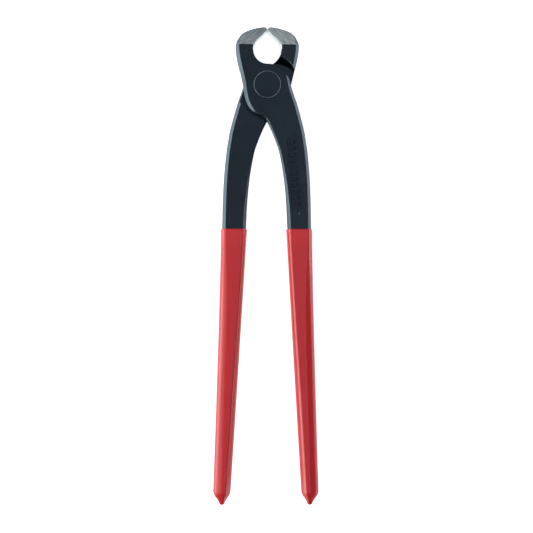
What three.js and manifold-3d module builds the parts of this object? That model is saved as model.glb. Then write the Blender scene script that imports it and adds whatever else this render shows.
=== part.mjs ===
// End-cutting fencing nippers: two identical forged levers crossed in a half-lap joint, held by one
// countersunk rivet, with a dipped plastic grip on each handle.
//
// Millimetres. The pivot axis is +Z through the origin, the jaws point along +Y and the tool lies on
// its back, so the rear of the joint is in the plane z = 0 and the front of the joint is at
// z = HEAD_THICKNESS. The jaws are closed.
//
// Both levers are one and the same forging. It is drawn here as the front one, about the mid-plane of
// the tool: left jaw, boss over the pivot, right handle. The rear one is that forging turned half a
// turn about the tool's long axis.
import * as THREE from "three";
import { mergeVertices } from "three/addons/utils/BufferGeometryUtils.js";
import Module from "manifold-3d";

// ---------------------------------------------------------------- driving dimensions

const HANDLE_REACH = 246.5; // pivot axis to the tips of the grips
const HEAD_THICKNESS = 15; // of the jaws and of the closed joint

const THROAT_RADIUS = 8.2; // the round opening behind the cutting edges
const JAW_WALL = 10.3; // jaw beside the throat
const CROWN_RADIUS = 31; // the domed top of the jaws, seen from the front
const EDGE_BEVEL = 1.2; // ground bevel on the outside of each cutting edge
const EDGE_LAND = 0.35; // length of the line where the two edges meet
const EDGE_GAP = 0.1; // between the closed cutting edges
const GROUND_LENGTH = 10.1; // of the bright ground flats, down from the crown
const GROUND_STEP = 0.25; // the flats lie this far under the forged face
const GROUND_TILT = 1.6; // degrees, so that the jaws thin towards the edge

const BOSS_RADIUS = 12.1; // the milled arc between the throat and the back of the handle
const WAIST = 14.2; // pivot axis to the side of the boss
const HEEL_RADIUS = 18.2; // pivot axis to the underside of the boss
const CROTCH_DROP = 2.4; // from the underside of the boss to the point where the handles part
const RAMP_FOOT = 13; // the shoulder behind the jaw slopes in from HEEL_RADIUS to this radius
const SWING_CLEARANCE = 0.5; // round what the other lever sweeps
const LAP_GAP = 0.12; // between the two halves of the lap joint

const RIVET_SHANK_RADIUS = 6;
const RIVET_HEAD_RADIUS = 8.2;
const RIVET_HEAD_HEIGHT = 2.2; // depth of the countersink
const RIVET_RIM = 0.3; // chamfer round the flush head
const RUNNING_CLEARANCE = 0.08; // of the shank in its bore

const GRIP_TOP = 84.3; // pivot axis down to the mouth of the grip
const ARM_WIDTH = 14; // at the mouth of the grip
const ARM_THICKNESS = 8.4; // at the mouth of the grip
const ARM_ROOT = 1; // the arm leaves the joint this far past the mid-plane
const ARM_CENTRE = 19.17; // the arm's middle at the mouth of the grip, from the tool's axis
const TANG_END_CENTRE = 26.05; // the tang's middle at its end
const TANG_END_WIDTH = 8.7;
const TANG_END_THICKNESS = 6.6;
const TANG_TAPER = 0.85; // power of the narrowing along the tang: under 1 it comes early
const TANG_BOW = 1.1; // power of the outward lean along the tang: over 1 it comes late
const FORGED_EDGE = 1.9; // chamfer along the outside of the forging
const CROTCH_EDGE = 0.7; // the chamfer where the two handles meet
const TANG_EDGE = 2.6; // chamfer along the inside of the tang, at its end
const TANG_SLOPE = 4.4; // width of the shallow chamfer along the outside of the tang
const MILLED_EDGE = 0.3; // edge break where the forging is milled or ground

const GRIP_WALL = 0.7;
const GRIP_GAP = 0.05; // between tang and grip
const GRIP_LIP = 0.4; // rounding of the mouth
const GRIP_END = 7.5; // length of the tapered end, with its drip
const TANG_SHORT = 5; // the tang stops this far short of the grip's tip

const PANEL_TOP = 30; // sunk panel on the arm, from the pivot axis
const PANEL_BOTTOM = 73.5;
const PANEL_TOP_CENTRE = 14.3; // the panel's middle at its two ends, from the tool's axis
const PANEL_BOTTOM_CENTRE = 17.9;
const PANEL_WIDTH = 5.8;
const PANEL_DEPTH = 0.35;

// ---------------------------------------------------------------- values that follow from them

const HALF_HEAD = HEAD_THICKNESS / 2;
const THROAT_Y = BOSS_RADIUS + THROAT_RADIUS; // the throat runs into the milled arc of the boss
const EDGE_Y = THROAT_Y + THROAT_RADIUS * Math.SQRT2; // where two 45 degree tangents of the throat meet
const CROWN_Y = EDGE_Y + EDGE_LAND + EDGE_BEVEL;
const LAP_RADIUS = HEEL_RADIUS; // of the joint, up to the shoulder behind the jaw
const JAW_SIDE = THROAT_RADIUS + JAW_WALL;
const CROTCH = HEEL_RADIUS + CROTCH_DROP;
const TANG_END = HANDLE_REACH - TANG_SHORT;
const OPEN_AIR = 60; // how far a cutter reaches past the material

const degrees = THREE.MathUtils.degToRad;
const at = (x, y) => new THREE.Vector2(x, y);
const polar = (radius, angle, y = 0) => at(radius * Math.cos(degrees(angle)), y + radius * Math.sin(degrees(angle)));
const mix = THREE.MathUtils.lerp;
const ease = (t) => THREE.MathUtils.smoothstep(t, 0, 1);

// ---------------------------------------------------------------- solids

const wasm = await Module();
wasm.setup();

// A closed three.js geometry as a manifold-3d solid, for the booleans.
function solid(geometry) {
  const bare = geometry.index ? geometry.toNonIndexed() : geometry.clone();
  bare.deleteAttribute("normal");
  bare.deleteAttribute("uv");
  const merged = mergeVertices(bare, 1e-4);
  return new wasm.Manifold(
    new wasm.Mesh({
      numProp: 3,
      vertProperties: merged.attributes.position.array,
      triVerts: new Uint32Array(merged.index.array),
    }),
  );
}

// A manifold-3d solid back as a three.js geometry with flat faces.
function geometryOf(body) {
  const mesh = body.getMesh();
  const geometry = new THREE.BufferGeometry()
    .setAttribute("position", new THREE.BufferAttribute(mesh.vertProperties, 3))
    .setIndex(new THREE.BufferAttribute(mesh.triVerts, 1))
    .toNonIndexed();
  geometry.computeVertexNormals();
  return geometry;
}

// A stack of rings with equally many points, skinned and closed at both ends. Each ring is convex and
// runs anticlockwise when it is looked at along the stack.
function loft(rings) {
  const size = rings[0].length;
  const index = [];
  for (let r = 0; r + 1 < rings.length; r++) {
    for (let i = 0; i < size; i++) {
      const a = r * size + i;
      const b = r * size + ((i + 1) % size);
      index.push(a, b + size, b, a, a + size, b + size);
    }
  }
  const last = (rings.length - 1) * size;
  for (let i = 1; i + 1 < size; i++) {
    index.push(0, i, i + 1);
    index.push(last, last + i + 1, last + i);
  }
  return new THREE.BufferGeometry().setFromPoints(rings.flat()).setIndex(index);
}

// One eight-sided section of a bar that lies between the edge points left and right, from -back to
// front in z. edge is the width of the chamfer along a side, and drop is its depth on the right, where
// it needn't be 45 degrees. grow moves every face outwards.
function section({ left, right, front, back, edgeLeft, edgeRight, drop = edgeRight }, grow = 0) {
  const along = right.clone().sub(left).normalize();
  const width = left.distanceTo(right);
  const point = (s, z) => new THREE.Vector3(left.x + along.x * s, left.y + along.y * s, z);
  const tilt = Math.atan2(drop, edgeRight);
  const leftCut = edgeLeft - grow * Math.tan(Math.PI / 8);
  const rightCut = edgeRight - grow * Math.tan(tilt / 2);
  const sideCut = drop - grow * Math.tan(Math.PI / 4 - tilt / 2);
  return [
    point(leftCut, front + grow),
    point(width - rightCut, front + grow),
    point(width + grow, front - sideCut),
    point(width + grow, sideCut - back),
    point(width - rightCut, -back - grow),
    point(leftCut, -back - grow),
    point(-grow, leftCut - back),
    point(-grow, front - leftCut),
  ];
}

function extrude(points, bottom, top) {
  const geometry = new THREE.ExtrudeGeometry(new THREE.Shape(points), { depth: top - bottom, bevelEnabled: false });
  return geometry.translate(0, 0, bottom);
}

// ---------------------------------------------------------------- the forging's two edges

const crownPoint = (x) => at(x, CROWN_Y - CROWN_RADIUS + Math.sqrt(CROWN_RADIUS ** 2 - x ** 2));
const CROWN_END = crownPoint(-JAW_SIDE + 4);

// The outside of the jaw, round the underside of the boss and down the inside of the handle.
const jawSide = new THREE.SplineCurve([
  CROWN_END,
  at(-JAW_SIDE + 2.3, CROWN_END.y - 1.9),
  at(-JAW_SIDE + 0.4, THROAT_Y + 4.2),
  at(-JAW_SIDE, THROAT_Y + 0.8),
  at(mix(-JAW_SIDE, -WAIST, 0.22), THROAT_Y * 0.72),
  at(mix(-JAW_SIDE, -WAIST, 0.62), THROAT_Y * 0.36),
  at(-WAIST, 0.4),
]);
const heel = [
  at(-WAIST, 0.4),
  polar(mix(WAIST, HEEL_RADIUS, 0.22), 211),
  polar(mix(WAIST, HEEL_RADIUS, 0.62), 227),
  polar(mix(WAIST, HEEL_RADIUS, 0.91), 240),
  polar(HEEL_RADIUS, 252),
  polar(mix(HEEL_RADIUS, CROTCH, 0.3), 262),
  polar(CROTCH, 269),
];

// The handle between boss and grip, as its middle and its width at a distance below the pivot. Both
// are told as shares of the way from the crotch to the mouth of the grip.
const armShape = [
  { share: 0.09, middle: 0.63, spread: 1.365 },
  { share: 0.2, middle: 0.735, spread: 1.25 },
  { share: 0.31, middle: 0.82, spread: 1.168 },
  { share: 0.53, middle: 0.917, spread: 1.085 },
  { share: 0.75, middle: 0.969, spread: 1.03 },
  { share: 1, middle: 1, spread: 1 },
];
const armSide = (side, rows) =>
  rows.map(({ share, middle, spread }) =>
    at(ARM_CENTRE * middle + (side * ARM_WIDTH * spread) / 2, -mix(CROTCH, GRIP_TOP, share)),
  );

const innerSide = new THREE.SplineCurve([...heel, ...armSide(-1, armShape)]);

// The cutting edge's inner bevel, the throat, the milled arc of the boss and the outside of the handle.
const outerSide = new THREE.SplineCurve([
  ...[90, 77, 64, 51, 39].map((angle) => polar(BOSS_RADIUS, angle)),
  polar(mix(BOSS_RADIUS, WAIST, 0.35), 23),
  polar(mix(BOSS_RADIUS, WAIST, 0.76), 2),
  polar(WAIST + 1.1, -13.5),
  polar(HEEL_RADIUS + 3.7, -35),
  ...armSide(1, armShape),
]);

// ---------------------------------------------------------------- the forging's sections

// A stretch of the forging: its two edges from start to end, and how its heights and chamfers change.
function stretch({ left, right, steps, front, back, edgeLeft, edgeRight, skip = 0 }) {
  const rows = [];
  for (let i = skip; i <= steps; i++) {
    const t = i / steps;
    rows.push({
      left: left(t),
      right: right(t),
      front: front(t),
      back: back(t),
      edgeLeft: edgeLeft(t),
      edgeRight: edgeRight(t),
    });
  }
  return rows;
}

const steady = (value) => () => value;
const between = (a, b) => (t) => mix(a, b, t);
const line = (a, b) => (t) => a.clone().lerp(b, t);
const along = (curve) => (t) => curve.getPointAt(t);

const edgeTip = at(-EDGE_GAP / 2, EDGE_Y + EDGE_LAND);
const edgeFoot = at(-EDGE_GAP / 2, EDGE_Y);
const bevelTop = crownPoint(-EDGE_BEVEL);
const bevelFoot = at(-2 * EDGE_BEVEL, EDGE_Y - 2 * EDGE_BEVEL);
const throatStart = polar(THROAT_RADIUS, 135, THROAT_Y);

const cuttingEdge = stretch({
  left: line(edgeTip, bevelTop),
  right: line(edgeFoot, bevelFoot),
  steps: 1,
  front: steady(HALF_HEAD),
  back: steady(HALF_HEAD),
  edgeLeft: between(0.1, MILLED_EDGE),
  edgeRight: between(0.1, MILLED_EDGE),
});
const crown = stretch({
  left: (t) => crownPoint(mix(bevelTop.x, CROWN_END.x, t)),
  right: line(bevelFoot, throatStart),
  steps: 8,
  front: steady(HALF_HEAD),
  back: steady(HALF_HEAD),
  edgeLeft: between(MILLED_EDGE, MILLED_EDGE * 2),
  edgeRight: steady(MILLED_EDGE),
  skip: 1,
});
const cheek = stretch({
  left: along(jawSide),
  right: (t) => polar(THROAT_RADIUS, mix(135, 270, t), THROAT_Y),
  steps: 18,
  front: steady(HALF_HEAD),
  back: steady(HALF_HEAD),
  edgeLeft: (t) => mix(MILLED_EDGE * 2, FORGED_EDGE, ease(t * 6)),
  edgeRight: steady(MILLED_EDGE),
  skip: 1,
});
// The arm leaves the joint in its own half and comes over to the mid-plane on its way down.
const joggle = (t) => ease((t - 0.25) / 0.75);
const armFront = (t) => mix(HALF_HEAD, ARM_THICKNESS / 2, joggle(t));
const armBack = (t) => (t < 0.1 ? HALF_HEAD : mix(ARM_ROOT, ARM_THICKNESS / 2, joggle(t)));
// The chamfer runs out towards the crotch and comes back on the way to the grip.
const innerEdge = (t) => mix(FORGED_EDGE, CROTCH_EDGE, ease((t - 0.14) / 0.1) * ease((1 - t) / 0.6));
const bossAndArm = stretch({
  left: along(innerSide),
  right: along(outerSide),
  steps: 44,
  front: armFront,
  back: armBack,
  edgeLeft: innerEdge,
  edgeRight: (t) => mix(MILLED_EDGE, FORGED_EDGE, ease((t - 0.1) / 0.06)),
  skip: 1,
});

// The tang is straight. Below the grip's mouth t goes from 0 to 1 at the end of the tang.
const tangLength = TANG_END - GRIP_TOP;
const tangRow = (t) => {
  const y = -mix(GRIP_TOP, TANG_END, t);
  const middle = mix(ARM_CENTRE, TANG_END_CENTRE, Math.max(0, t) ** TANG_BOW);
  const half = mix(ARM_WIDTH, TANG_END_WIDTH, Math.max(0, t) ** TANG_TAPER) / 2;
  const height = mix(ARM_THICKNESS, TANG_END_THICKNESS, t) / 2;
  return {
    left: at(middle - half, y),
    right: at(middle + half, y),
    front: height,
    back: height,
    edgeLeft: mix(FORGED_EDGE, TANG_EDGE, ease(t * 1.3)),
    edgeRight: mix(FORGED_EDGE, TANG_SLOPE, ease(t * 3)),
    drop: FORGED_EDGE,
  };
};
const TANG_STEPS = 10;
const tang = Array.from({ length: TANG_STEPS }, (_, i) => tangRow((i + 1) / TANG_STEPS));

const forgedBar = [...cuttingEdge, ...crown, ...cheek, ...bossAndArm, ...tang];

// ---------------------------------------------------------------- cuts

// The points of a run, moved sideways by distance, to the right of the way they go.
function offsetRun(points, distance) {
  return points.map((p, i) => {
    const before = points[Math.max(0, i - 1)];
    const after = points[Math.min(points.length - 1, i + 1)];
    const way = after.clone().sub(before).normalize();
    return at(p.x + way.y * distance, p.y - way.x * distance);
  });
}

// The jaw's shoulder as an arc about the pivot, from the side of the jaw round to its throat.
function jawShoulder(radiusAt) {
  const points = [];
  for (let angle = 156; angle >= 66; angle -= 5) points.push(polar(radiusAt(angle), angle));
  return points;
}
const rampFoot = (angle) => mix(RAMP_FOOT, LAP_RADIUS, THREE.MathUtils.clamp((angle - 84) / 68, 0, 1) ** 2);

// The sloping part of the jaw's shoulder, between the lap face and the back of the jaw.
function shoulderRamp() {
  const ring = (radiusAt, z) => [at(0, 0), ...jawShoulder(radiusAt)].map((p) => new THREE.Vector3(p.x, p.y, z));
  return loft([ring(() => LAP_RADIUS, -HALF_HEAD - 1), ring(() => LAP_RADIUS, -HALF_HEAD), ring(rampFoot, LAP_GAP / 2)]);
}

// What the other lever's half of the joint sweeps, seen from the front: everything inside the two
// shoulders, and past them the crotch of the other lever with a clearance.
function lapOutline() {
  const crotch = innerSide.getSpacedPoints(60).filter((p) => p.length() > LAP_RADIUS && p.y > -CROTCH - 9);
  const otherCrotch = offsetRun(crotch, SWING_CLEARANCE).map((p) => at(-p.x, p.y));
  const shoulder = jawShoulder(rampFoot);
  const armShoulder = [];
  for (let angle = 20; angle >= -75; angle -= 5) armShoulder.push(polar(LAP_RADIUS + SWING_CLEARANCE, angle));
  const last = otherCrotch[otherCrotch.length - 1];
  return [
    ...shoulder,
    at(OPEN_AIR, shoulder[shoulder.length - 1].y),
    at(OPEN_AIR, armShoulder[0].y),
    ...armShoulder,
    ...otherCrotch,
    at(-OPEN_AIR, last.y),
    at(-OPEN_AIR, shoulder[0].y),
  ].reverse();
}

function rivetProfile(grow, top) {
  const head = RIVET_HEAD_RADIUS + grow;
  const shank = RIVET_SHANK_RADIUS + grow;
  return { head, shank, seat: top - RIVET_HEAD_HEIGHT };
}

const ROUND = 64;

// The bore for the rivet with its countersink in the front face.
function rivetHole() {
  const { head, shank, seat } = rivetProfile(RUNNING_CLEARANCE, HALF_HEAD);
  return new THREE.LatheGeometry(
    [at(0, -OPEN_AIR), at(shank, -OPEN_AIR), at(shank, seat), at(head, HALF_HEAD), at(head, OPEN_AIR), at(0, OPEN_AIR)],
    ROUND,
  ).rotateX(Math.PI / 2);
}

// The block that grinding takes off one side of the jaws; side is 1 at the front and -1 at the back.
function groundFlat(side) {
  const block = new THREE.BoxGeometry(2 * OPEN_AIR, OPEN_AIR, OPEN_AIR);
  block.translate(0, OPEN_AIR / 2, OPEN_AIR / 2);
  block.rotateX(-degrees(GROUND_TILT));
  block.translate(0, CROWN_Y - GROUND_LENGTH, HALF_HEAD - GROUND_STEP);
  return side > 0 ? block : block.rotateY(Math.PI);
}

// The sunk panel on the front of the arm. It runs straight and keeps to the arm's sloping face.
function panel() {
  const top = at(PANEL_TOP_CENTRE, -PANEL_TOP);
  const way = at(PANEL_BOTTOM_CENTRE, -PANEL_BOTTOM).sub(top);
  const rings = [];
  for (const { left, right, front } of bossAndArm) {
    const across = right.clone().sub(left);
    const share = top.clone().sub(left).cross(across) / across.cross(way);
    if (share < 0 || share > 1) continue;
    const middle = top.clone().addScaledVector(way, share);
    const side = across.normalize().multiplyScalar(PANEL_WIDTH / 2);
    const corner = (sign, z) => new THREE.Vector3(middle.x + sign * side.x, middle.y + sign * side.y, z);
    const floor = front - PANEL_DEPTH;
    rings.push([corner(-1, front + 1), corner(1, front + 1), corner(1, floor), corner(-1, floor)]);
  }
  return loft(rings);
}

function lever() {
  const forging = solid(loft(forgedBar.map((row) => section(row))));
  return forging
    .subtract(solid(extrude(lapOutline(), -OPEN_AIR, LAP_GAP / 2)))
    .subtract(solid(shoulderRamp()))
    .subtract(solid(rivetHole()))
    .subtract(solid(groundFlat(1)))
    .subtract(solid(groundFlat(-1)))
    .subtract(solid(panel()));
}

// ---------------------------------------------------------------- rivet and grip

function rivet() {
  const { head, shank, seat } = rivetProfile(0, HALF_HEAD);
  const rim = mix(shank, head, 1 - RIVET_RIM / RIVET_HEAD_HEIGHT);
  const half = [at(shank, seat), at(rim, HALF_HEAD - RIVET_RIM), at(rim - RIVET_RIM, HALF_HEAD)];
  const mirrored = half.map((p) => at(p.x, -p.y)).reverse();
  return new THREE.LatheGeometry([at(0, -HALF_HEAD), ...mirrored, ...half, at(0, HALF_HEAD)], ROUND).rotateX(Math.PI / 2);
}

// The section of the grip: the tang's, grown by the wall, and shrunk towards its middle at the end.
function gripRing(row, wall, share = 1) {
  const ring = section(row, wall);
  const middle = ring.reduce((sum, p) => sum.add(p), new THREE.Vector3()).divideScalar(ring.length);
  return ring.map((p) => p.lerp(middle, 1 - share));
}

function grip() {
  const rowAt = (reach) => tangRow((reach - GRIP_TOP) / tangLength);
  const endStart = HANDLE_REACH - GRIP_END;
  const wall = GRIP_WALL + GRIP_GAP;
  const rings = [
    gripRing(rowAt(GRIP_TOP), wall - GRIP_LIP),
    gripRing(rowAt(GRIP_TOP + GRIP_LIP * 0.3), wall - GRIP_LIP * 0.3),
    gripRing(rowAt(GRIP_TOP + GRIP_LIP), wall),
  ];
  for (let i = 1; i <= TANG_STEPS; i++) {
    rings.push(gripRing(rowAt(mix(GRIP_TOP + GRIP_LIP, endStart, i / TANG_STEPS)), wall));
  }
  const end = [
    [0.2, 0.985],
    [0.4, 0.92],
    [0.56, 0.78],
    [0.7, 0.58],
    [0.82, 0.37],
    [0.9, 0.25],
    [0.97, 0.2],
    [1, 0.12],
  ];
  for (const [share, size] of end) rings.push(gripRing(rowAt(endStart + GRIP_END * share), wall, size));
  const outside = solid(loft(rings));
  const above = { ...tangRow(0), left: tangRow(0).left.setY(1 - GRIP_TOP), right: tangRow(0).right.setY(1 - GRIP_TOP) };
  const inside = [above, tangRow(0), ...tang].map((row) => section(row, GRIP_GAP));
  const tip = tangRow(1 + GRIP_GAP / tangLength);
  return outside.subtract(solid(loft([...inside, section(tip, GRIP_GAP)])));
}

// ---------------------------------------------------------------- the tool

const steel = () => new THREE.MeshStandardMaterial({ color: 0x1f272e, metalness: 0.6, roughness: 0.38 });
const plastic = () => new THREE.MeshStandardMaterial({ color: 0xb01f26, metalness: 0, roughness: 0.25 });

function part(name, geometry, material) {
  const mesh = new THREE.Mesh(geometry, material);
  mesh.name = name;
  return mesh;
}

const leverGeometry = geometryOf(lever());
const gripGeometry = geometryOf(grip());

const front = new THREE.Group();
front.add(part("front_lever", leverGeometry, steel()));
front.add(part("front_lever_grip", gripGeometry, plastic()));

const rear = new THREE.Group();
rear.rotation.y = Math.PI;
rear.add(part("rear_lever", leverGeometry, steel()));
rear.add(part("rear_lever_grip", gripGeometry, plastic()));

const nippers = new THREE.Group();
nippers.add(front, rear, part("pivot_rivet", rivet(), steel()));
nippers.position.z = HALF_HEAD;

export default nippers;
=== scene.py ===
# %% [markdown]
# # End-cutting wire nippers
#
# Two forged levers cross in a half-lap joint and turn on one flush rivet. The ends of their jaws are
# ground bright, the rest is black, and each handle is dipped in red plastic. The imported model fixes
# every size and the pivot. This notebook gives the tool its finished surfaces: forged edges that are
# rounded and never sharp, ground jaws, a rivet ring and glossy grips.
#
# The tool lies on its back. X runs across it, Y towards the jaws, and Z along the pivot.

# %% Load the frame
from bisect import bisect_left
from math import atan2, cos, pi, radians, sin, sqrt, tan

import bmesh
import bpy
from mathutils import Euler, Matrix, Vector
from mathutils.geometry import interpolate_bezier


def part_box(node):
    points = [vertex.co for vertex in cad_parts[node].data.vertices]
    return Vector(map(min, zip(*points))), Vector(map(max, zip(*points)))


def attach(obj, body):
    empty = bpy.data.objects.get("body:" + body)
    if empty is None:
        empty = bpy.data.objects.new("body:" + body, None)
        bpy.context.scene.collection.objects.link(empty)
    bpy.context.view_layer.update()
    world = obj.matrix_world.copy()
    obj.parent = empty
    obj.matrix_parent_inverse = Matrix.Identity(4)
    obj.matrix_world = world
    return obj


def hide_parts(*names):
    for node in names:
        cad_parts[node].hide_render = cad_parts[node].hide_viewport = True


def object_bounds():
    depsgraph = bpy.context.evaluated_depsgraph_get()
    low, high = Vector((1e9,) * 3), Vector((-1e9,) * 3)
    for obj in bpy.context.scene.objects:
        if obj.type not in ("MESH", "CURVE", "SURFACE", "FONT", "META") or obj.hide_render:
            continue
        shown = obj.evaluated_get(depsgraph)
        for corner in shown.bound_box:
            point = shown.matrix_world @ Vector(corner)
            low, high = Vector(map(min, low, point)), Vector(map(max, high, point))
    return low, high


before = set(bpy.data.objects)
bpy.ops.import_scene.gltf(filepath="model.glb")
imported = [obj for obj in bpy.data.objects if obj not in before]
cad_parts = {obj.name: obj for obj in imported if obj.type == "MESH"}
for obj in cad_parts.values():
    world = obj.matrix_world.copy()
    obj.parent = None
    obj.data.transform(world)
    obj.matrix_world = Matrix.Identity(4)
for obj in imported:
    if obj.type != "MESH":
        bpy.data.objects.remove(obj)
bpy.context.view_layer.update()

# %% [markdown]
# ## Sizes
#
# Lengths are in millimetres in this notebook and become metres where a vertex is placed. What a packed
# node can tell is measured on it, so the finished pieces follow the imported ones. The other numbers are
# the forging's own.

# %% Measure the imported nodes
MM = 0.001


def measured(node):
    low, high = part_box(node)
    return low / MM, high / MM


grip_low, grip_high = measured("front_lever_grip")
rivet_low, rivet_high = measured("pivot_rivet")

half_head = (rivet_high.z - rivet_low.z) / 2
middle_plane = (rivet_high.z + rivet_low.z) / 2
handle_reach = -grip_low.y
grip_top = -grip_high.y
print(f"head {2 * half_head:.1f} thick, handles reach {handle_reach:.1f}, grips start at {grip_top:.1f}")

# %% The head's own sizes
throat_radius = 8.2
cheek_width = 10.3
crown_radius = 31
corner_width = 4
edge_bevel = 1.2
edge_land = 0.35
edge_gap = 0.1
boss_radius = 12.1
waist = 14.2
heel_radius = 18.2
crotch_drop = 2.4

jaw_side = throat_radius + cheek_width
throat_y = boss_radius + throat_radius
edge_y = throat_y + throat_radius * sqrt(2)
crown_top = edge_y + edge_land + edge_bevel
crotch = heel_radius + crotch_drop
print(f"pivot to crown {crown_top:.1f}, to cutting edge {edge_y:.1f}, to crotch {crotch:.1f}")

# %% The handle's own sizes
arm_width = 14
arm_thickness = 8.4
arm_centre = 19.17
drip_length = 5
tang_end = handle_reach - drip_length
tang_end_centre = 26.05
tang_end_width = 8.7
tang_end_thickness = 6.6
print(f"tang from {grip_top:.1f} to {tang_end:.1f} below the pivot")

# %% [markdown]
# ## Helpers for outlines
#
# An outline is a few points that a smooth curve passes through. The curve is asked for the point at a
# share of its length, so that the two edges of the forging can be walked in step.


# %% Points and curves
def mix(a, b, share):
    return a + (b - a) * share


def ease(share):
    share = min(1, max(0, share))
    return share * share * (3 - 2 * share)


def at(x, y):
    return Vector((x, y, 0))


def polar(radius, angle, y=0):
    return at(radius * cos(radians(angle)), y + radius * sin(radians(angle)))


def smooth_run(points):
    """A smooth curve through the points, as a function of the share of its length."""
    last = len(points) - 1
    walk = [points[0]]
    for i in range(last):
        here, there = points[i], points[i + 1]
        leaving = here + (there - points[max(i - 1, 0)]) / 6
        arriving = there - (points[min(i + 2, last)] - here) / 6
        walk += interpolate_bezier(here, leaving, arriving, there, 40)[1:]
    marks = [0]
    for a, b in zip(walk, walk[1:]):
        marks.append(marks[-1] + (b - a).length)

    def point_at(share):
        wanted = share * marks[-1]
        i = min(max(bisect_left(marks, wanted), 1), len(marks) - 1)
        return walk[i - 1].lerp(walk[i], (wanted - marks[i - 1]) / (marks[i] - marks[i - 1]))

    return point_at


# %% [markdown]
# ## Growing a bar ring by ring
#
# A forging, a dipped coat and the cutters that machine them are all modelled in the same way: a filled
# circle is extruded again and again, and each new ring of points is laid on the next section. It is what
# the E key does by hand. A lofted surface would need the same sections, but extruding keeps the ring's
# points in step. The operators leave a mesh's points and faces in an order that changes from run to run,
# so each mesh is settled into a fixed order, and every run gives the same piece.


# %% Ring tools
def deselect_all():
    bpy.ops.object.select_all(action="DESELECT")


def in_metres(point):
    x, y, z = point
    return Vector((x, y, z + middle_plane)) * MM


def settle(piece):
    """Puts the mesh's points and faces in a fixed order, as extrusions and booleans leave them in any order."""
    mesh = piece.data
    places = sorted((tuple(vertex.co), vertex.index) for vertex in mesh.vertices)
    rank = {index: order for order, (_, index) in enumerate(places)}
    faces = []
    for face in mesh.polygons:
        ring = [rank[index] for index in face.vertices]
        first = ring.index(min(ring))
        faces.append(ring[first:] + ring[:first])
    mesh.clear_geometry()
    mesh.from_pydata([place for place, _ in places], [], sorted(faces))


def grow(name, rings):
    """A closed body through the rings of (x, y, z) in mm, with z counted from the middle plane."""
    rings = [[in_metres(point) for point in ring] for ring in rings]
    deselect_all()
    bpy.ops.mesh.primitive_circle_add(vertices=len(rings[0]), radius=0.01, fill_type="NGON")
    body = bpy.context.object
    body.name = body.data.name = name
    for vertex, place in zip(body.data.vertices, rings[0]):
        vertex.co = place
    bpy.ops.object.mode_set(mode="EDIT")
    bpy.ops.mesh.select_all(action="SELECT")
    for ring, after in zip(rings, rings[1:]):
        bpy.ops.mesh.extrude_region_move()
        goal = {tuple(place): next_place for place, next_place in zip(ring, after)}
        mesh = bmesh.from_edit_mesh(body.data)
        for vertex in [vertex for vertex in mesh.verts if vertex.select]:
            vertex.co = goal[tuple(vertex.co)]
        bmesh.update_edit_mesh(body.data)
    bpy.ops.mesh.select_all(action="SELECT")
    bpy.ops.mesh.normals_make_consistent(inside=False)
    bpy.ops.object.mode_set(mode="OBJECT")
    settle(body)
    return body


def pick(*pieces):
    """Selects the pieces alone and makes the last one active."""
    deselect_all()
    for piece in pieces:
        piece.select_set(True)
    bpy.context.view_layer.objects.active = pieces[-1]


def apply(piece, kind, **settings):
    pick(piece)
    modifier = piece.modifiers.new(kind.lower(), kind)
    for name, value in settings.items():
        setattr(modifier, name, value)
    bpy.ops.object.modifier_apply(modifier=modifier.name)


def carve(piece, tool, operation="DIFFERENCE"):
    """Cuts the tool out of the piece, or joins it on, and removes the tool."""
    apply(piece, "BOOLEAN", operation=operation, solver="EXACT", object=tool)
    bpy.data.objects.remove(tool, do_unlink=True)
    settle(piece)


# %% [markdown]
# ## The section of a forging
#
# A drop forging has flat faces, and a chamfer along its outside edges where the flash was trimmed off.
# Nothing on it is sharp. The section is an eight-sided figure, and each of its corners is rounded by a
# curve of four points.


# %% Sections
def section(one, reaches, thicker=0):
    """The ring of one row. reaches are how far each corner is rounded, and thicker moves the faces out."""
    left, right, edge, drop = one["left"], one["right"], one["edge_right"], one["drop"]
    across = (right - left).normalized()
    start, end = -thicker, (right - left).length + thicker
    front, back = one["front"] + thicker, -one["back"] - thicker
    tilt = atan2(drop, edge)
    chamfer = one["edge_left"] + thicker * (1 - tan(pi / 8))
    edge += thicker * (1 - tan(tilt / 2))
    drop += thicker * (1 - tan(pi / 4 - tilt / 2))
    corners = [
        Vector((start + chamfer, front)),
        Vector((end - edge, front)),
        Vector((end, front - drop)),
        Vector((end, back + drop)),
        Vector((end - edge, back)),
        Vector((start + chamfer, back)),
        Vector((start, back + chamfer)),
        Vector((start, front - chamfer)),
    ]
    ring = []
    for i, (corner, reach) in enumerate(zip(corners, reaches)):
        to_before = corners[i - 1] - corner
        to_after = corners[(i + 1) % 8] - corner
        a = corner + to_before.normalized() * min(reach, 0.48 * to_before.length)
        b = corner + to_after.normalized() * min(reach, 0.48 * to_after.length)
        for share in (0, 1 / 3, 2 / 3, 1):
            ring.append(a.lerp(corner, share).lerp(corner.lerp(b, share), share))
    return [(left.x + across.x * s, left.y + across.y * s, z) for s, z in ring]


def rows_of(row_at, steps, first=1):
    """The rows of a stretch of the forging, from a function of the share of the way."""
    return [row_at(i / steps) for i in range(first, steps + 1)]


# %% [markdown]
# ## The two edges of the forging
#
# Seen from the front, one edge of the lever runs from the crown of the jaw down its outside, round the
# heel and down the inside of the handle. The other runs from the cutting edge round the throat, over the
# boss and down the outside of the handle. The jaw is on the left and the handle on the right, because
# the levers cross.


# %% Outline of the lever
def crown_point(x):
    return at(x, crown_top - crown_radius + sqrt(crown_radius**2 - x * x))


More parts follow.
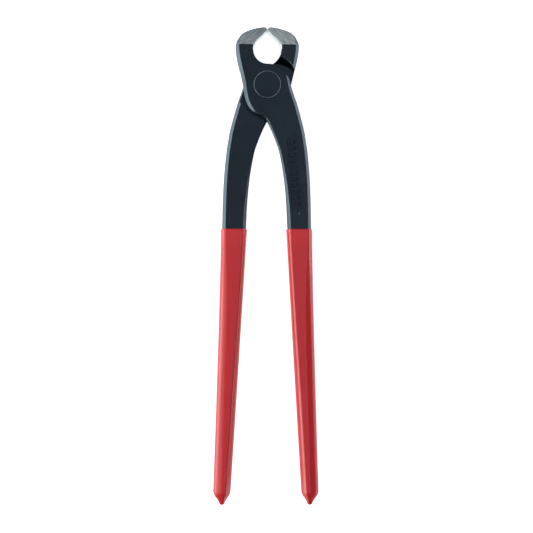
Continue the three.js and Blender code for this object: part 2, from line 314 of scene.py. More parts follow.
crown_end = crown_point(corner_width - jaw_side)
jaw_outside = smooth_run(
    [
        crown_end,
        at(2.3 - jaw_side, crown_end.y - 1.9),
        at(0.4 - jaw_side, throat_y + 4.2),
        at(-jaw_side, throat_y + 0.8),
        at(mix(-jaw_side, -waist, 0.22), throat_y * 0.72),
        at(mix(-jaw_side, -waist, 0.62), throat_y * 0.36),
        at(-waist, 0.4),
    ]
)

# Between the crotch and the mouth of the grip: the share of the way, and the arm's middle and width
# there as shares of what they are at the mouth.
arm_shape = [
    (0.09, 0.63, 1.365),
    (0.2, 0.735, 1.25),
    (0.31, 0.82, 1.168),
    (0.53, 0.917, 1.085),
    (0.75, 0.969, 1.03),
    (1, 1, 1),
]


def arm_side(side):
    return [
        at(arm_centre * middle + side * arm_width * spread / 2, -mix(crotch, grip_top, share))
        for share, middle, spread in arm_shape
    ]


inside_of_handle = smooth_run(
    [
        at(-waist, 0.4),
        polar(mix(waist, heel_radius, 0.22), 211),
        polar(mix(waist, heel_radius, 0.62), 227),
        polar(mix(waist, heel_radius, 0.91), 240),
        polar(heel_radius, 252),
        polar(mix(heel_radius, crotch, 0.3), 262),
        polar(crotch, 269),
        *arm_side(-1),
    ]
)
outside_of_handle = smooth_run(
    [
        *[polar(boss_radius, angle) for angle in (90, 77, 64, 51, 39)],
        polar(mix(boss_radius, waist, 0.35), 23),
        polar(mix(boss_radius, waist, 0.76), 2),
        polar(waist + 1.1, -13.5),
        polar(heel_radius + 3.7, -35),
        *arm_side(1),
    ]
)

# %% [markdown]
# ## Rows of the forging
#
# The bar is grown from the cutting edge over the crown, down the cheek of the jaw, across the boss and
# along the arm to the end of the tang. The arm leaves the joint in its own half of the thickness and
# comes over to the middle plane on its way down, which a smith calls a joggle. Most of the steps lie
# where the outline turns.

# %% From the cutting edge to the cheek
sharp = 0.1
milled_edge = 0.3
inner_bevel = 0.75
forged_edge = 1.9
edge_tip = at(-edge_gap / 2, edge_y + edge_land)
edge_foot = at(-edge_gap / 2, edge_y)
bevel_top = crown_point(-edge_bevel)
bevel_foot = at(-2 * edge_bevel, edge_y - 2 * edge_bevel)
throat_start = polar(throat_radius, 135, throat_y)


def row(left, right, edge_left, edge_right, front=half_head, back=half_head, drop=None):
    """One row: its two ends, its faces' heights, its chamfers' widths, and how far the right one drops."""
    edges = dict(edge_left=edge_left, edge_right=edge_right, drop=drop or edge_right)
    return dict(left=left, right=right, front=front, back=back) | edges


def cutting_edge(t):
    left, right = edge_tip.lerp(bevel_top, t), edge_foot.lerp(bevel_foot, t)
    return row(left, right, mix(sharp, milled_edge, t), mix(sharp, inner_bevel, t))


def crown(t):
    left = crown_point(mix(bevel_top.x, crown_end.x, t))
    return row(left, bevel_foot.lerp(throat_start, t), milled_edge * (1 + t), inner_bevel)


def cheek(t):
    edge = mix(milled_edge * 2, forged_edge, ease(t * 6))
    throat_edge = mix(inner_bevel, milled_edge, ease(t * 3))
    return row(jaw_outside(t), polar(throat_radius, mix(135, 270, t), throat_y), edge, throat_edge)


# %% From the boss to the end of the tang
crotch_edge = 0.7
tang_edge = 2.6
tang_slope = 4.4
arm_root = 1
boss_share = 0.1
joggle_start = 0.25


def boss_and_arm(t):
    joggle = ease((t - joggle_start) / (1 - joggle_start))
    half = arm_thickness / 2
    return row(
        left=inside_of_handle(t),
        right=outside_of_handle(t),
        edge_left=mix(forged_edge, crotch_edge, ease((t - 0.14) / 0.1) * ease((1 - t) / 0.6)),
        edge_right=mix(milled_edge, forged_edge, ease((t - boss_share) / 0.1)),
        front=mix(half_head, half, joggle),
        back=half_head if t < boss_share else mix(arm_root, half, joggle),
    )


def tang(t):
    """The tang at a share of its length below the mouth of the grip."""
    y = -mix(grip_top, tang_end, t)
    centre = mix(arm_centre, tang_end_centre, max(0, t) ** 1.1)
    half_width = mix(arm_width, tang_end_width, max(0, t) ** 0.85) / 2
    half = mix(arm_thickness, tang_end_thickness, t) / 2
    inner_edge = mix(forged_edge, tang_edge, ease(t * 1.3))
    outer_edge = mix(forged_edge, tang_slope, ease(t * 3))
    left, right = at(centre - half_width, y), at(centre + half_width, y)
    return row(left, right, inner_edge, outer_edge, half, half, drop=forged_edge)


# %% Grow the forging
forged_corners = [0.4] * 8
tang_stop = 0.98
forged_rows = (
    rows_of(cutting_edge, 2, first=0)
    + rows_of(crown, 16)
    + rows_of(cheek, 40)
    + rows_of(boss_and_arm, 100)
    + rows_of(lambda t: tang(t * tang_stop), 12)
)
front_lever = grow("front_lever_forging", [section(one, forged_corners) for one in forged_rows])
print("forging:", len(front_lever.data.polygons), "faces")

# %% [markdown]
# ## Machining the forging
#
# The real blank is milled and ground after forging, and the same cuts are made here with booleans. Half
# of the joint is milled away down to the lap face, the rivet hole is bored and countersunk, and both
# sides of the jaws are ground to a slight wedge. The lap cutter follows what the other lever sweeps, so
# the tool can open.


# %% Mill the lap
ramp_foot = 13
lap_gap = 0.12
swing_clearance = 0.5
behind_jaw = range(156, 65, -3)


def foot_of_ramp(angle):
    return mix(ramp_foot, heel_radius, min(1, max(0, (angle - 84) / 68)) ** 2)


def lap_outline():
    far = 60
    shoulder = [polar(foot_of_ramp(angle), angle) for angle in behind_jaw]
    arm_stop = [polar(heel_radius + swing_clearance, angle) for angle in range(20, -76, -5)]
    run = [inside_of_handle(i / 60) for i in range(61)]
    other_crotch = []
    for before, here, after in zip(run, run[1:], run[2:]):
        if here.length > heel_radius and here.y > -crotch - 9:
            way = (after - before).normalized()
            other_crotch.append(at(-here.x - way.y * swing_clearance, here.y - way.x * swing_clearance))
    right_corners = [at(far, shoulder[-1].y), at(far, arm_stop[0].y)]
    left_corners = [at(-far, other_crotch[-1].y), at(-far, shoulder[0].y)]
    return shoulder + right_corners + arm_stop + other_crotch + left_corners


lap_rings = [[(p.x, p.y, z) for p in lap_outline()] for z in (-2 * half_head, lap_gap / 2)]
carve(front_lever, grow("lap_cutter", lap_rings))
print("lap milled:", len(front_lever.data.polygons), "faces")

# %% Slope the shoulder
# The shoulder behind the jaw is hollow at its foot and rounded over at its top.
ramp = [(0, 1), (0.1, 0.94), (0.3, 0.72), (0.6, 0.4), (0.85, 0.13), (0.94, 0)]
ramp += [(0.98, -0.1), (1, -0.22), (1.1, -0.22)]
ramp_rings = []
for depth, share in ramp:
    z = mix(lap_gap / 2, -half_head, depth)
    arc = [polar(mix(heel_radius, foot_of_ramp(angle), share), angle) for angle in behind_jaw]
    ramp_rings.append([(0, 0, z)] + [(p.x, p.y, z) for p in arc])
carve(front_lever, grow("shoulder_cutter", ramp_rings))
print("shoulder sloped:", len(front_lever.data.polygons), "faces")


# %% Bore and countersink the rivet hole
def circle(radius, z, count=96):
    return [(radius * cos(2 * pi * i / count), radius * sin(2 * pi * i / count), z) for i in range(count)]


rivet_shank = 6
rivet_head = 8.2
rivet_head_height = 2.2
running_clearance = 0.08
bore = rivet_shank + running_clearance
sink = rivet_head + running_clearance
drill_rings = [
    circle(bore, -2 * half_head),
    circle(bore, half_head - rivet_head_height),
    circle(sink, half_head),
    circle(sink, 2 * half_head),
]
carve(front_lever, grow("countersink_drill", drill_rings))
print("hole drilled:", len(front_lever.data.polygons), "faces")

# %% Grind both sides of the jaw
ground_length = 10.1
ground_step = 0.25
ground_tilt = radians(1.6)
wheel_size = 80
for side in (1, -1):
    turn = side * -ground_tilt
    reach = Vector((0, wheel_size / 2, side * wheel_size / 2))
    reach.rotate(Euler((turn, 0, 0)))
    foot = Vector((0, crown_top - ground_length, side * (half_head - ground_step)))
    deselect_all()
    place = in_metres(foot + reach)
    bpy.ops.mesh.primitive_cube_add(size=wheel_size * MM, location=place, rotation=(turn, 0, 0))
    carve(front_lever, bpy.context.object)
print("jaws ground:", len(front_lever.data.polygons), "faces")

# %% [markdown]
# ## The sunk panel and the test mark
#
# The die of such a tool leaves a shallow sunk panel on the arm, with a raised mark in it. Here the panel
# holds plain raised ribs. Its cutter follows the arm's sloping face, and the ribs are grown in the same
# way, with their tops a little under that face. The round dimple below the panel is the mark of a
# hardness test.

# %% Sink the panel
panel_top, panel_bottom = at(14.3, -30), at(17.9, -73.5)
panel_half_width = 2.7
panel_depth = 0.65
panel_draft = 0.6


def arm_row_through(point):
    """The arm's row that passes through a point, found by halving the way."""
    low, high = boss_share, 1
    for _ in range(20):
        share = (low + high) / 2
        found = boss_and_arm(share)
        across = found["right"] - found["left"]
        if across.cross(point - found["left"]).z < 0:
            low = share
        else:
            high = share
    return found


def panel_ring(share, half_width, low, high, draft):
    """A ring across the panel. Heights count from the arm's face, and draft widens the top at each side."""
    middle = panel_top.lerp(panel_bottom, share)
    face = arm_row_through(middle)
    across = (face["right"] - face["left"]).normalized()
    top, bottom = half_width + draft, half_width
    corners = ((-top, high), (top, high), (bottom, low), (-bottom, low))
    return [(middle.x + across.x * s, middle.y + across.y * s, face["front"] + z) for s, z in corners]


rounded_end = [(0, 0.55), (0.006, 0.75), (0.018, 0.92), (0.036, 1)]
spans = rounded_end + [(i / 36, 1) for i in range(2, 35)]
spans += [(1 - share, size) for share, size in rounded_end[::-1]]
panel_rings = [
    panel_ring(share, panel_half_width * size, -panel_depth, panel_depth, panel_draft)
    for share, size in spans
]
carve(front_lever, grow("panel_die", panel_rings))
print("panel sunk:", len(front_lever.data.polygons), "faces")

# %% Raise the ribs
# Along the panel, a rib's length and slope are shares of the panel's length.
rib_count = 11
rib_length = 0.045
rib_slope = 0.006
rib_half_width = 1.8
rib_draft = -0.4
rib_root = 0.1
rib_rise = 0.55
panel_margin = 0.07
rib_profile = [(0, rib_root), (rib_slope, rib_rise)]
rib_profile += [(rib_length - rib_slope, rib_rise), (rib_length, rib_root)]
for i in range(rib_count):
    start = mix(panel_margin, 1 - panel_margin - rib_length, i / (rib_count - 1))
    rib_rings = [
        panel_ring(start + go, rib_half_width, -panel_depth - rib_root, rise - panel_depth, rib_draft)
        for go, rise in rib_profile
    ]
    carve(front_lever, grow("rib", rib_rings), "UNION")
print(rib_count, "ribs raised:", len(front_lever.data.polygons), "faces")

# %% Press the test mark
mark = at(18.2, -75.2)
ball_radius = 1.3
mark_depth = 0.35
ball_height = arm_row_through(mark)["front"] + ball_radius - mark_depth
deselect_all()
bpy.ops.mesh.primitive_uv_sphere_add(
    segments=32, ring_count=16, radius=ball_radius * MM, location=in_metres((mark.x, mark.y, ball_height))
)
carve(front_lever, bpy.context.object)
print("mark pressed:", len(front_lever.data.polygons), "faces")

# %% [markdown]
# ## Soft edges
#
# A milled or ground edge is broken with a file, so a hair of it always catches the light. A Bevel
# modifier takes every edge that turns by more than thirty degrees, and leaves the forged corners, which
# are arcs already. Weighted normals then keep the flat faces flat in the shading.


# %% Break the edges
def finish_edges(piece, width):
    apply(
        piece,
        "BEVEL",
        width=width * MM,
        segments=2,
        limit_method="ANGLE",
        angle_limit=radians(30),
        use_clamp_overlap=True,
    )
    pick(piece)
    bpy.ops.object.shade_smooth_by_angle(angle=radians(32))
    apply(piece, "WEIGHTED_NORMAL", keep_sharp=True)


broken_edge = 0.1
finish_edges(front_lever, broken_edge)
print("edges broken:", len(front_lever.data.polygons), "faces")

# %% [markdown]
# ## The second lever
#
# Both levers come from one die. The rear one is a copy, turned half a turn about the tool's long axis,
# so its panel lies on the back of the tool.


# %% Turn a copy over
def turned_over(piece, name):
    """A copy of the piece with its own mesh, turned half a turn about the tool's long axis."""
    pick(piece)
    bpy.ops.object.duplicate()
    copy = bpy.context.object
    copy.name = copy.data.name = name
    bpy.ops.object.mode_set(mode="EDIT")
    bpy.ops.mesh.select_all(action="SELECT")
    bpy.ops.transform.rotate(value=pi, orient_axis="Y", center_override=in_metres((0, 0, 0)))
    bpy.ops.object.mode_set(mode="OBJECT")
    return copy


rear_lever = turned_over(front_lever, "rear_lever_forging")
print("rear lever, mm:", [round(value / MM, 1) for value in rear_lever.dimensions])

# %% [markdown]
# ## The rivet
#
# The joint is held by one rivet whose two conical heads fill the countersinks. The press that closes
# them rolls a hair of metal up round each rim, and only that thin ring shows, because the heads are
# flush and black too.

# %% Grow the rivet
# From the shank out along the cone, up and over the rolled rim, and in across the flat of the head.
head_profile = [
    (rivet_shank, half_head - rivet_head_height),
    (7.95, half_head - 0.32),
    (8.07, half_head - 0.1),
    (8.03, half_head + 0.06),
    (7.88, half_head + 0.16),
    (7.66, half_head + 0.14),
    (7.4, half_head),
    (7.2, half_head),
]
rivet_rings = [circle(radius, -z) for radius, z in head_profile[::-1]]
rivet_rings += [circle(radius, z) for radius, z in head_profile]
rivet = grow("rivet", rivet_rings)
pick(rivet)
bpy.ops.object.shade_smooth_by_angle(angle=radians(40))
print("rivet:", len(rivet.data.polygons), "faces")

# %% [markdown]
# ## The dipped grips
#
# A handle is dipped in liquid PVC and hung up to cure. The coat follows the tang, its corners run round,
# it rolls over in a thin lip at the mouth, and its last drop hardens as a nib at the tip. The coat is
# grown in one go: up the outside from the nib, over the lip, and back down over the tang.

# %% Grow a grip
grip_gap = 0.05
coat = 0.75
lip = 0.4
end_length = 8
ridge, soft_ridge, side = 0.8, 2.2, 3.0
coat_corners = [ridge, ridge, side, side, soft_ridge, ridge, side, side]
tang_length = tang_end - grip_top


def coat_ring(reach, thicker, size=1, reaches=coat_corners):
    """The coat's section at a distance below the pivot. size shrinks it towards its own middle."""
    ring = [Vector(point) for point in section(tang((reach - grip_top) / tang_length), reaches, thicker)]
    middle = sum(ring, Vector()) / len(ring)
    return [tuple(middle.lerp(point, size)) for point in ring]


def tang_ring(reach):
    return coat_ring(reach, grip_gap, reaches=forged_corners)


end_start = handle_reach - end_length
nib = [(1, 0.11), (0.99, 0.18), (0.965, 0.235), (0.92, 0.28), (0.86, 0.315), (0.79, 0.36), (0.7, 0.435)]
nib += [(0.6, 0.535), (0.5, 0.65), (0.38, 0.79), (0.27, 0.89), (0.16, 0.955), (0.07, 0.99)]
outside = [coat_ring(end_start + end_length * share, coat, size) for share, size in nib]
outside += [coat_ring(mix(end_start, grip_top + 2 * lip, i / 40), coat) for i in range(41)]
rolled = [(angle, coat - lip * (1 - cos(radians(angle)))) for angle in (20, 40, 60, 80)]
outside += [coat_ring(grip_top + 2 * lip * (1 - sin(radians(angle))), thick) for angle, thick in rolled]
bottom = mix(grip_top, tang_end, tang_stop) + grip_gap
inside = [tang_ring(grip_top + lip * 0.1)]
inside += [tang_ring(mix(grip_top, bottom, i / 12)) for i in range(1, 13)]
front_grip = grow("front_grip_coat", outside + inside)
pick(front_grip)
bpy.ops.object.shade_smooth()
print("grip:", len(front_grip.data.polygons), "faces")

# %% Copy the grip to the rear lever
rear_grip = turned_over(front_grip, "rear_grip_coat")
print("rear grip, mm:", [round(value / MM, 1) for value in rear_grip.dimensions])

# %% [markdown]
# ## Materials
#
# One small function adds a node, with its settings and its inputs, to a material. Colours are written in
# the way that a paint shop gives them, as sRGB hex values, and another function turns them to the linear
# values that Blender computes with.


# %% Material helpers
def linear(hex_colour):
    channels = [int(hex_colour[i : i + 2], 16) / 255 for i in (1, 3, 5)]
    return [c / 12.92 if c <= 0.04045 else ((c + 0.055) / 1.055) ** 2.4 for c in channels] + [1]


def add(tree, kind, inputs, **settings):
    """Adds a node. Each input is a value, or an output of another node to link."""
    node = tree.nodes.new("ShaderNode" + kind)
    for name, value in settings.items():
        setattr(node, name, value)
    for name, value in inputs.items():
        if isinstance(value, bpy.types.NodeSocket):
            tree.links.new(value, node.inputs[name])
        else:
            node.inputs[name].default_value = value
    return node


def start_material(name, **constants):
    material = bpy.data.materials.new(name)
    material.use_nodes = True
    shader = material.node_tree.nodes["Principled BSDF"]
    for socket, value in constants.items():
        shader.inputs[socket.replace("_", " ")].default_value = value
    return material, material.node_tree, shader


def per_metre(size):
    """The scale of a noise whose features are so many millimetres wide."""
    return 1 / (size * MM)


# %% [markdown]
# ### Phosphated forging
#
# The forging is medium-carbon steel that was shot-blasted, phosphated black and oiled. The oiled coat is
# a very dark blue-black that still reflects like a metal, so the faces look almost black and every
# chamfer turned to a light looks bright and bluish. The hammer leaves shallow waves about five
# millimetres wide, the blasting fine dimples of half a millimetre, and the oil dries in broad, faint
# clouds.

# %% Black phosphate
cloud, wave, dimple = 14, 5, 0.5
black_phosphate, tree, shader = start_material("black_phosphated_steel", Metallic=1, Roughness=0.34)
place = add(tree, "TexCoord", {}).outputs["Object"]
clouds = add(tree, "TexNoise", {"Vector": place, "Scale": per_metre(cloud), "Detail": 4})
oiled = add(
    tree,
    "Mix",
    {"Factor": clouds.outputs["Fac"], "A": linear("#3b444b"), "B": linear("#444f56")},
    data_type="RGBA",
)
blasted = add(tree, "TexNoise", {"Vector": place, "Scale": per_metre(dimple), "Detail": 3})
forged = add(tree, "TexNoise", {"Vector": place, "Scale": per_metre(wave), "Detail": 2})
waves = add(tree, "Bump", {"Height": forged.outputs["Fac"], "Distance": 0.05 * MM, "Strength": 0.5})
skin = add(
    tree,
    "Bump",
    {
        "Height": blasted.outputs["Fac"],
        "Normal": waves.outputs["Normal"],
        "Distance": 0.012 * MM,
        "Strength": 0.6,
    },
)
gloss = add(
    tree,
    "MapRange",
    {"Value": clouds.outputs["Fac"], "From Min": 0.3, "From Max": 0.7, "To Min": 0.3, "To Max": 0.38},
)
tree.links.new(oiled.outputs["Result"], shader.inputs["Base Color"])
tree.links.new(gloss.outputs["Result"], shader.inputs["Roughness"])
tree.links.new(skin.outputs["Normal"], shader.inputs["Normal"])
print(black_phosphate.name, "has", len(tree.nodes), "nodes")

# %% [markdown]
# ### Ground steel
#
# The jaws are ground on a belt after blackening, so bare steel shows there, full of fine parallel lines.
# Real lines of this grit are a few hundredths of a millimetre apart. They are drawn about ten times as coarse,
# or they would not show. Each jaw was held to the belt on its own, so the lines of the two mirror each other.
# The right jaw is painted lighter than the left, which is a painted reflection, and painted shade darkens both
# flats towards the cutting edge. A thin streak near the right corner ran hot and turned the colour of straw.

# %% Ground steel: the belt's lines
line_width, line_length = 0.4, 16
belt_angle = radians(-40)
ground_steel, tree, shader = start_material("ground_steel", Metallic=1, Roughness=0.54)
place = add(tree, "TexCoord", {}).outputs["Object"]
axes = add(tree, "SeparateXYZ", {"Vector": place}).outputs
from_middle = add(tree, "Math", {0: axes["X"]}, operation="ABSOLUTE").outputs["Value"]
mirrored = add(tree, "CombineXYZ", {"X": from_middle, "Y": axes["Y"], "Z": axes["Z"]}).outputs["Vector"]
along_belt = add(
    tree,
    "Mapping",
    {"Vector": mirrored, "Rotation": (0, 0, belt_angle), "Scale": (line_length, 1, 1)},
    vector_type="TEXTURE",
).outputs["Vector"]
lines = add(tree, "TexNoise", {"Vector": along_belt, "Scale": per_metre(line_width), "Detail": 3})
crisp = add(tree, "MapRange", {"Value": lines.outputs["Fac"], "From Min": 0.36, "From Max": 0.64})
bare = add(
    tree,
    "Mix",
    {"Factor": crisp.outputs["Result"], "A": linear("#a9b9be"), "B": linear("#f6fcfd")},
    data_type="RGBA",
)
scratches = add(tree, "Bump", {"Height": lines.outputs["Fac"], "Distance": 0.02 * MM, "Strength": 0.7})
tree.links.new(scratches.outputs["Normal"], shader.inputs["Normal"])
print(ground_steel.name, "has", len(tree.nodes), "nodes")

# %% Ground steel: painted shade and painted reflection
# Painted shade: the flats are painted darker towards the cutting edge, and the edge of that shade wanders in
# patches, in and out by up to the wander.
patch, wander = 7, 4
painted_shade_patches = add(tree, "TexNoise", {"Vector": place, "Scale": per_metre(patch), "Detail": 2})
painted_shade_wander = add(
    tree,
    "MapRange",
    {
        "Value": painted_shade_patches.outputs["Fac"],
        "From Min": 0.3,
        "From Max": 0.7,
        "To Min": -wander * MM,
        "To Max": wander * MM,
    },
)
moved = add(tree, "Math", {0: from_middle, 1: painted_shade_wander.outputs["Result"]}, operation="ADD")
# Painted shade, darkest by the cutting edge.
painted_shade_falloff = add(
    tree,
    "MapRange",
    {"Value": moved.outputs["Value"], "From Min": 2 * MM, "From Max": 14 * MM, "To Min": 0.7},
)
# Painted reflection: the right jaw is painted lighter than the left.
painted_jaw_reflection = add(
    tree,
    "MapRange",
    {"Value": axes["X"], "From Min": -MM, "From Max": MM, "To Min": 0.82, "To Max": 1.1},
)
# The painted shade and the painted reflection together set how far the flats go from dark to bare.
painted_light_factor = add(
    tree,
    "Math",
    {0: painted_shade_falloff.outputs["Result"], 1: painted_jaw_reflection.outputs["Result"]},
    operation="MULTIPLY",
)
shaded = add(
    tree,
    "Mix",
    {"Factor": painted_light_factor.outputs["Value"], "A": linear("#505a5f"), "B": bare.outputs["Result"]},
    data_type="RGBA",
)
print(ground_steel.name, "has", len(tree.nodes), "nodes")

# %% Ground steel: the straw streak
streak_foot = (13 * MM, 26.9 * MM, 0)
streak_lean = radians(21)
on_streak = add(
    tree,
    "Mapping",
    {"Vector": place, "Location": streak_foot, "Rotation": (0, 0, streak_lean)},
    vector_type="TEXTURE",
)
across_streak = add(tree, "SeparateXYZ", {"Vector": on_streak.outputs["Vector"]}).outputs["X"]
off_streak = add(tree, "Math", {0: across_streak}, operation="ABSOLUTE").outputs["Value"]
heat = add(
    tree,
    "MapRange",
    {"Value": off_streak, "From Min": 0.15 * MM, "From Max": 0.8 * MM, "To Min": 0.5, "To Max": 0},
    interpolation_type="SMOOTHSTEP",
)
tempered = add(
    tree,
    "Mix",
    {"Factor": heat.outputs["Result"], "A": shaded.outputs["Result"], "B": linear("#dcc8a8")},
    data_type="RGBA",
)
tree.links.new(tempered.outputs["Result"], shader.inputs["Base Color"])
print(ground_steel.name, "has", len(tree.nodes), "nodes")

# %% [markdown]
# ### Honed steel
#
# The narrow bevels round the inside of the jaws, and the rim that the press rolls on the rivet, are
# finished finer than the flats. They are smoother and brighter, with faint marks about half a millimetre
# wide.

# %% Honed steel
honed_steel, tree, shader = start_material("honed_steel", Metallic=1, Roughness=0.24)
place = add(tree, "TexCoord", {}).outputs["Object"]
hone_mark = 0.6
hone = add(tree, "TexNoise", {"Vector": place, "Scale": per_metre(hone_mark), "Detail": 2})
bright = add(
    tree,
    "Mix",
    {"Factor": hone.outputs["Fac"], "A": linear("#b2bebe"), "B": linear("#d2dcdc")},
    data_type="RGBA",
)
lapped = add(tree, "Bump", {"Height": hone.outputs["Fac"], "Distance": 0.01 * MM, "Strength": 0.5})
tree.links.new(bright.outputs["Result"], shader.inputs["Base Color"])
tree.links.new(lapped.outputs["Normal"], shader.inputs["Normal"])
print(honed_steel.name, "has", len(tree.nodes), "nodes")

# %% [markdown]
# ### Dipped PVC
#
# The coat is plastisol, a soft red PVC that is dipped and cured. It is an even red nearly all through, and its
# colour is a little brighter just below the mouth. Its skin is as glossy as a boiled sweet, and still ripples a
# little where the liquid ran.

# %% Red PVC
dye_drift, run_width, run_stretch = 18, 4, 4
brighter_from, brighter_to = grip_top + 3, grip_top + 15
red_pvc, tree, shader = start_material("dipped_red_pvc", Roughness=0.23, IOR=1.53)
place = add(tree, "TexCoord", {}).outputs["Object"]
drift = add(tree, "TexNoise", {"Vector": place, "Scale": per_metre(dye_drift), "Detail": 2})
dyed = add(
    tree,
    "Mix",
    {"Factor": drift.outputs["Fac"], "A": linear("#a51c21"), "B": linear("#b02026")},
    data_type="RGBA",
)
height = add(tree, "SeparateXYZ", {"Vector": place}).outputs["Y"]
# The colour is made a little brighter just below the mouth.
near_mouth = add(
    tree,
    "MapRange",
    {"Value": height, "From Min": -brighter_to * MM, "From Max": -brighter_from * MM, "To Max": 0.5},
    interpolation_type="SMOOTHSTEP",
)
dipped = add(
    tree,
    "Mix",
    {"Factor": near_mouth.outputs["Result"], "A": dyed.outputs["Result"], "B": linear("#c0262c")},
    data_type="RGBA",
)
runs = add(tree, "Mapping", {"Vector": place, "Scale": (1, 1 / run_stretch, 1)}).outputs["Vector"]
ripple = add(tree, "TexNoise", {"Vector": runs, "Scale": per_metre(run_width), "Detail": 1})
skin = add(tree, "Bump", {"Height": ripple.outputs["Fac"], "Distance": 0.06 * MM, "Strength": 0.5})
tree.links.new(dipped.outputs["Result"], shader.inputs["Base Color"])
tree.links.new(skin.outputs["Normal"], shader.inputs["Normal"])
print(red_pvc.name, "has", len(tree.nodes), "nodes")

# %% [markdown]
# ## Laying on the finishes
#
# Grinding reaches from the crown down to a straight line across the jaw. The honed bevels run on from
# the cutting edges down the upper half of the throat. Those faces are found by their place and the way
# they face.


# %% Find each face's finish
black, ground, honed = range(3)
ground_from = crown_top - ground_length
honed_from = throat_y + 0.4
honed_width = 1.2
near_arc = throat_radius * 1.15
crown_half_width = 6.5


def finish_at(face):
    """The slot of a face of the forging, by its place and the way it faces."""
    x, y, _ = face.center / MM
    if abs(face.normal.z) > 0.95:
        return ground if y > ground_from - broken_edge / 2 else black
    by_the_arc = Vector((x, y - throat_y)).length < near_arc
    by_the_edge = abs(abs(x) + y - edge_y) < honed_width
    if y > honed_from and (by_the_arc or by_the_edge) and face.normal.y < 0.3:
        return honed
    on_the_crown = face.normal.y > 0.6 or abs(x) < crown_half_width
    return ground if y > ground_from and on_the_crown else black


# %% Give each piece its finish
for lever in (front_lever, rear_lever):
    for finish in (black_phosphate, ground_steel, honed_steel):
        lever.data.materials.append(finish)
    for face in lever.data.polygons:
        face.material_index = finish_at(face)
for finish in (black_phosphate, honed_steel):
    rivet.data.materials.append(finish)
rim_inside, rim_outside = 7.6, 7.95
for face in rivet.data.polygons:
    on_the_rim = rim_inside < face.center.xy.length / MM < rim_outside
    face.material_index = int(on_the_rim and abs(face.normal.z) > 0.9)
for grip in (front_grip, rear_grip):
    grip.data.materials.append(red_pvc)
finishes = [face.material_index for face in front_lever.data.polygons]
print("faces black, ground and honed:", [finishes.count(slot) for slot in (black, ground, honed)])

# %% [markdown]
# ## Joining the imported model
#
# Each piece stands for one imported node, which it hides, and rides on that node's body, so the tool opens with
# the imported joint.

# %% Place the pieces on their bodies
fittings = [
    (front_lever, "front_lever", "front_half", "lever_steel"),
    (rear_lever, "rear_lever", "rear_half", "lever_steel"),
    (rivet, "pivot_rivet", "rear_half", "rivet_steel"),
    (front_grip, "front_lever_grip", "front_half", "grip_plastic"),
    (rear_grip, "rear_lever_grip", "rear_half", "grip_plastic"),
]
for piece, node, body, slot in fittings:
    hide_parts(node)
    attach(piece, body)

# %% [markdown]
# ## The studio
#
# The tool lies on a white table. On each side two softboxes stand low, one beside the head and one
# beside the grips, and draw the bright lines along the chamfers and the coats. Two more on the left
# stand higher, and light the slopes between side and top. A narrow strip puts a soft line on the grips.
# A wide, faint box hangs overhead, and lets the flat faces stay nearly black. A table lamp is kept out
# of reflections, and the surroundings are white for the camera only.

# %% Table
middle_y = -0.1
table_size = 6
table_gap = 0.1 * MM
deselect_all()
bpy.ops.mesh.primitive_plane_add(size=table_size, location=(0, middle_y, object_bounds()[0].z - table_gap))
table = bpy.context.object
table.name = "table"
white_laminate, tree, shader = start_material("white_laminate", Roughness=0.7, Emission_Strength=0.72)
shader.inputs["Emission Color"].default_value = linear("#ffffff")
place = add(tree, "TexCoord", {}).outputs["Object"]
grain_width = 2
grain = add(tree, "TexNoise", {"Vector": place, "Scale": per_metre(grain_width), "Detail": 2})
paper = add(
    tree,
    "Mix",
    {"Factor": grain.outputs["Fac"], "A": linear("#f6f6f6"), "B": linear("#fafafa")},
    data_type="RGBA",
)
tree.links.new(paper.outputs["Result"], shader.inputs["Base Color"])
table.data.materials.append(white_laminate)
print("table at", round(table.location.z / MM, 2), "mm")


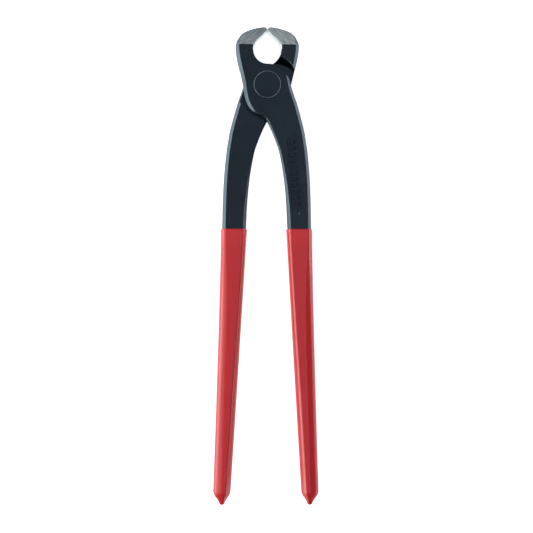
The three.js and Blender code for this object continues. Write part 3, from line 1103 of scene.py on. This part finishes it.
# %% Lights
def softbox(name, place, turn, size, brightness, glossy=True, tint=(1, 1, 1)):
    """A rectangular light, in metres, turned in degrees about Y from facing down, with a given radiance."""
    bpy.ops.object.light_add(type="AREA", location=place, rotation=(0, radians(turn), 0))
    lamp = bpy.context.object
    lamp.name = name
    lamp.data.shape = "RECTANGLE"
    lamp.data.size, lamp.data.size_y = size
    lamp.data.energy = brightness * pi * size[0] * size[1]
    lamp.data.color = tint
    lamp.visible_camera = False
    lamp.visible_glossy = glossy


softbox("left_softbox", (-0.9, 0.25, 0.17), -90, (0.34, 0.7), 6.2)
softbox("left_grip_softbox", (-0.9, -0.45, 0.17), -90, (0.34, 0.7), 5)
softbox("left_bounce", (-0.85, middle_y, 0.42), -64, (0.3, 1.3), 3)
softbox("left_reflector", (-0.75, middle_y, 0.75), -45, (0.45, 1.3), 1.4)
softbox("right_softbox", (0.9, 0.25, 0.13), 90, (0.26, 0.7), 6.2)
softbox("right_grip_softbox", (0.9, -0.45, 0.13), 90, (0.26, 0.7), 2.2)
softbox("right_strip", (0.4, middle_y, 1.2), 18, (0.12, 1.3), 1.5)
softbox("overhead_softbox", (0, middle_y, 1.5), 0, (0.8, 1.8), 0.23, tint=(0.8, 0.89, 1.12))
softbox("table_lamp", (0, middle_y, 1.6), 0, (1.4, 1.4), 2.0, glossy=False)
print(len(bpy.data.lights), "lights")

# %% Surroundings
world = bpy.data.worlds.new("studio")
world.use_nodes = True
tree = world.node_tree
seen = add(tree, "LightPath", {}).outputs["Is Camera Ray"]
dim, white = (0.1, 0.1, 0.1, 1), (1, 1, 1, 1)
backdrop = add(tree, "Mix", {"Factor": seen, "A": dim, "B": white}, data_type="RGBA")
tree.links.new(backdrop.outputs["Result"], tree.nodes["Background"].inputs["Color"])
bpy.context.scene.world = world
bpy.context.scene.view_settings.view_transform = "Standard"

# %% [markdown]
# ## The camera
#
# The camera looks down on the tool from nearly a metre, with a long lens, so the handles keep their true
# shape. It stands a little to the left, and so sees more of the left sides.

# %% Camera
seen_across = 0.3134
distance = 0.885
aim = Vector((0, -106.4, middle_plane)) * MM
step_left = 0.0247
roll = radians(0.15)
bpy.ops.object.camera_add(
    location=aim + Vector((-step_left, 0, distance)), rotation=(0, -atan2(step_left, distance), roll)
)
camera = bpy.context.object
camera.name = "camera"
camera.data.lens = camera.data.sensor_width * distance / seen_across
bpy.context.scene.camera = camera
print(f"lens {camera.data.lens:.0f} mm")
